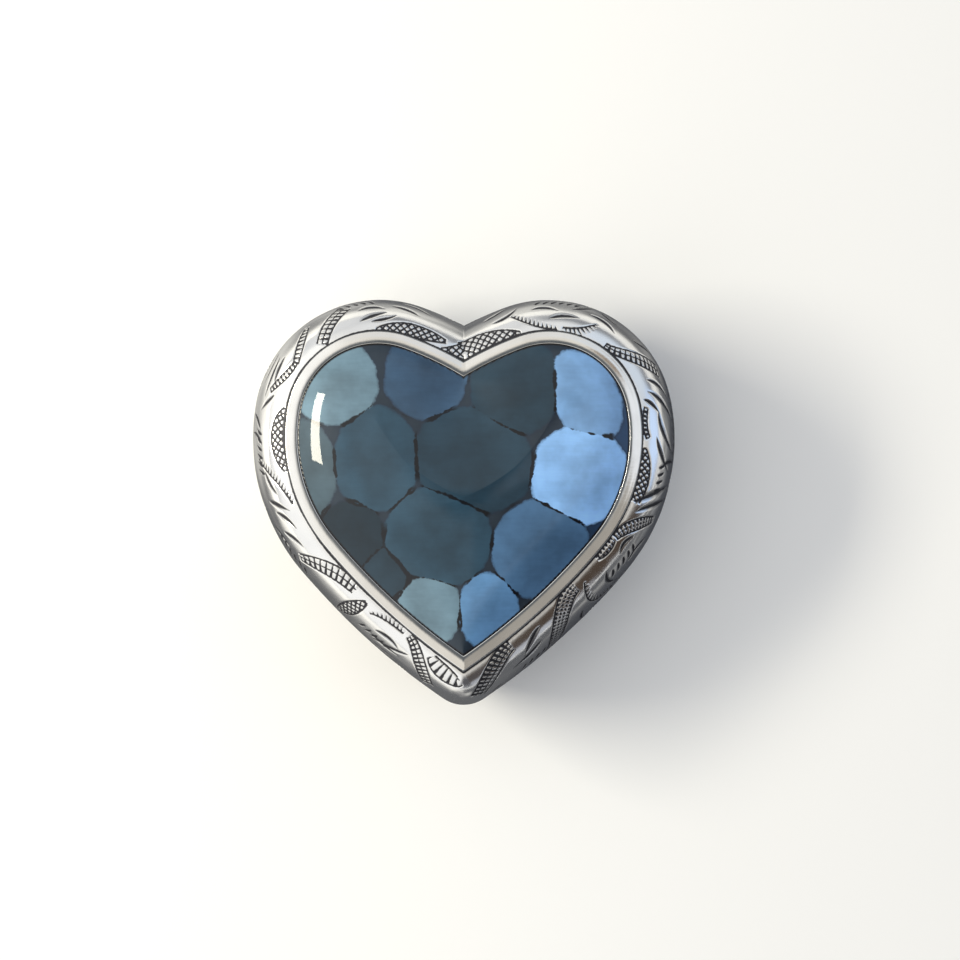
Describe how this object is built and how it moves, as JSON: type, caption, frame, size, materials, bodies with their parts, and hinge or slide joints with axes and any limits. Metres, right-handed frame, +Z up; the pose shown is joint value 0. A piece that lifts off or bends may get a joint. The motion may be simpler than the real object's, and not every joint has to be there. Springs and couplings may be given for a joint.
{
  "type": "trinket box",
  "caption": "Heart-shaped trinket box: hinged lid with an engraved silver side, a polished bezel and a domed blue pebble-pattern enamel panel; velvet-lined hollow inside.",
  "frame": {"origin": "on the floor under the middle of the box's bounding box", "axes": "+Z up; -Y towards the point of the heart, the box's front; +Y towards the cleft and the hinges; +X to the right"},
  "size_m": [0.076, 0.073, 0.0356],
  "materials": {
    "engraved_silver": "polished silver plate, engraved, with dark tarnish left in the cuts",
    "polished_silver": "polished silver plate",
    "steel": "brushed",
    "magnet": "nickel-plated magnet",
    "enamel": "glossy vitreous enamel: blue pebbles in dark grout",
    "velvet": "navy velvet",
    "felt": "navy felt"
  },
  "bodies": {
    "base": {"felt_pad": "felt", "base_shell": "engraved_silver", "base_collar": "polished_silver", "base_lining": "velvet", "base_cushion": "velvet", "base_magnet_cup": "polished_silver", "base_magnet": "magnet", "hinge_base_leaf_left": "polished_silver", "hinge_base_leaf_right": "polished_silver", "hinge_pin_left": "steel", "hinge_pin_right": "steel"},
    "lid": {"lid_shell": "engraved_silver", "bezel": "polished_silver", "enamel_dome": "enamel", "backing_plate": "steel", "backing_screws": "steel", "lid_lining": "velvet", "lid_magnet_cup": "polished_silver", "lid_magnet": "magnet", "hinge_lid_leaf_left": "polished_silver", "hinge_lid_leaf_right": "polished_silver"}
  },
  "joints": [
    {"name": "lid_hinge", "type": "hinge", "parent": "base", "child": "lid", "pos_m": [0, 0.03535, 0.0115], "axis": [-1, 0, 0], "range_deg": [0, 95]}
  ]
}
